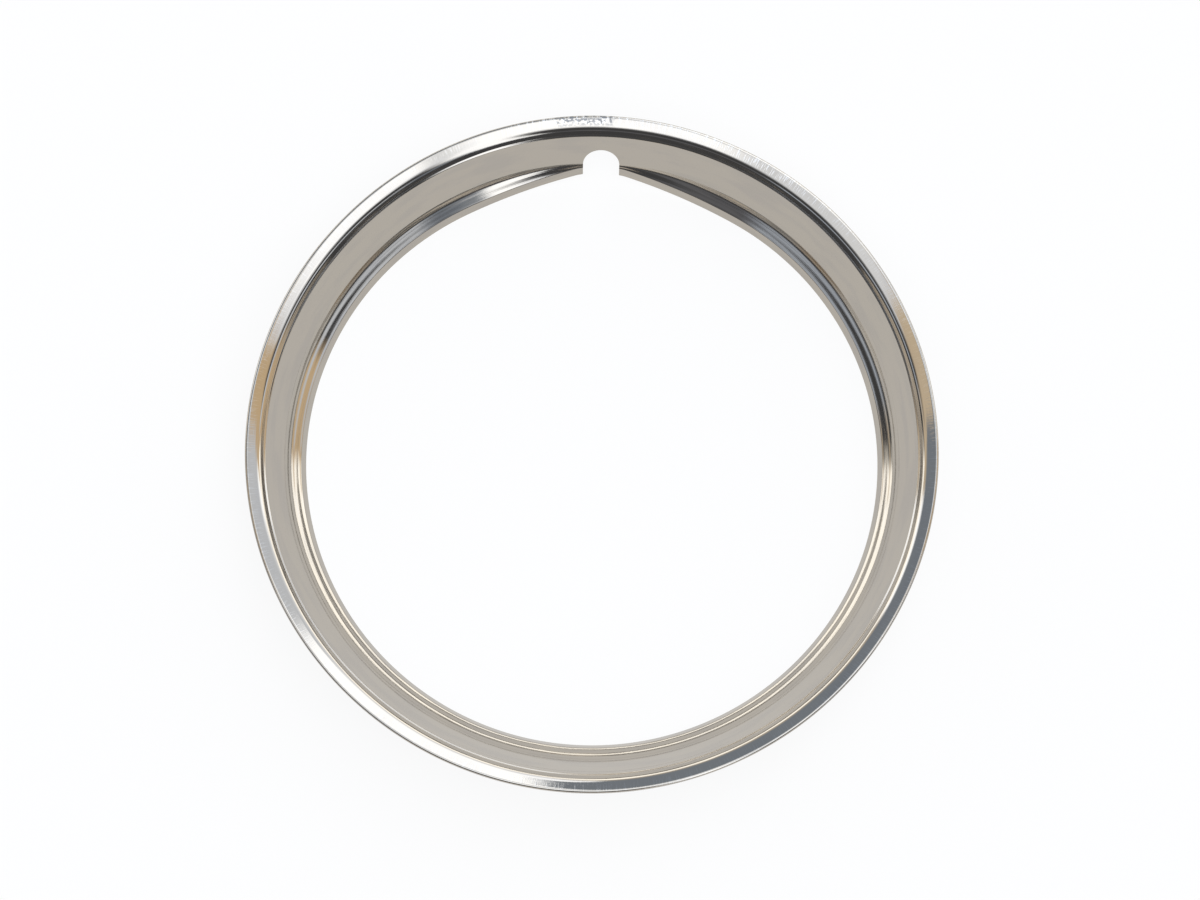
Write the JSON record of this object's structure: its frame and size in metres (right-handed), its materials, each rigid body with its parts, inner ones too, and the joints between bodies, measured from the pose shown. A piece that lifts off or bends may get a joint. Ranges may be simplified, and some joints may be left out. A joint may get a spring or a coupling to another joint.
{
  "type": "wheel trim ring",
  "caption": "Polished steel ring with a rounded front lip, steep wall, coved inner flange and valve notch, pressed into a car wheel's rim to dress it.",
  "frame": {"origin": "on the ring's axis, at the level of the rear edge that it lies on", "axes": "+Z along the ring's axis, out of its front face; +Y toward the valve notch"},
  "size_m": [0.404, 0.4039, 0.042],
  "materials": {
    "polished_steel": "mirror polished stainless steel, with fine polishing lines around the ring"
  },
  "bodies": {
    "root": {"trim_ring": "polished_steel"}
  },
  "joints": []
}
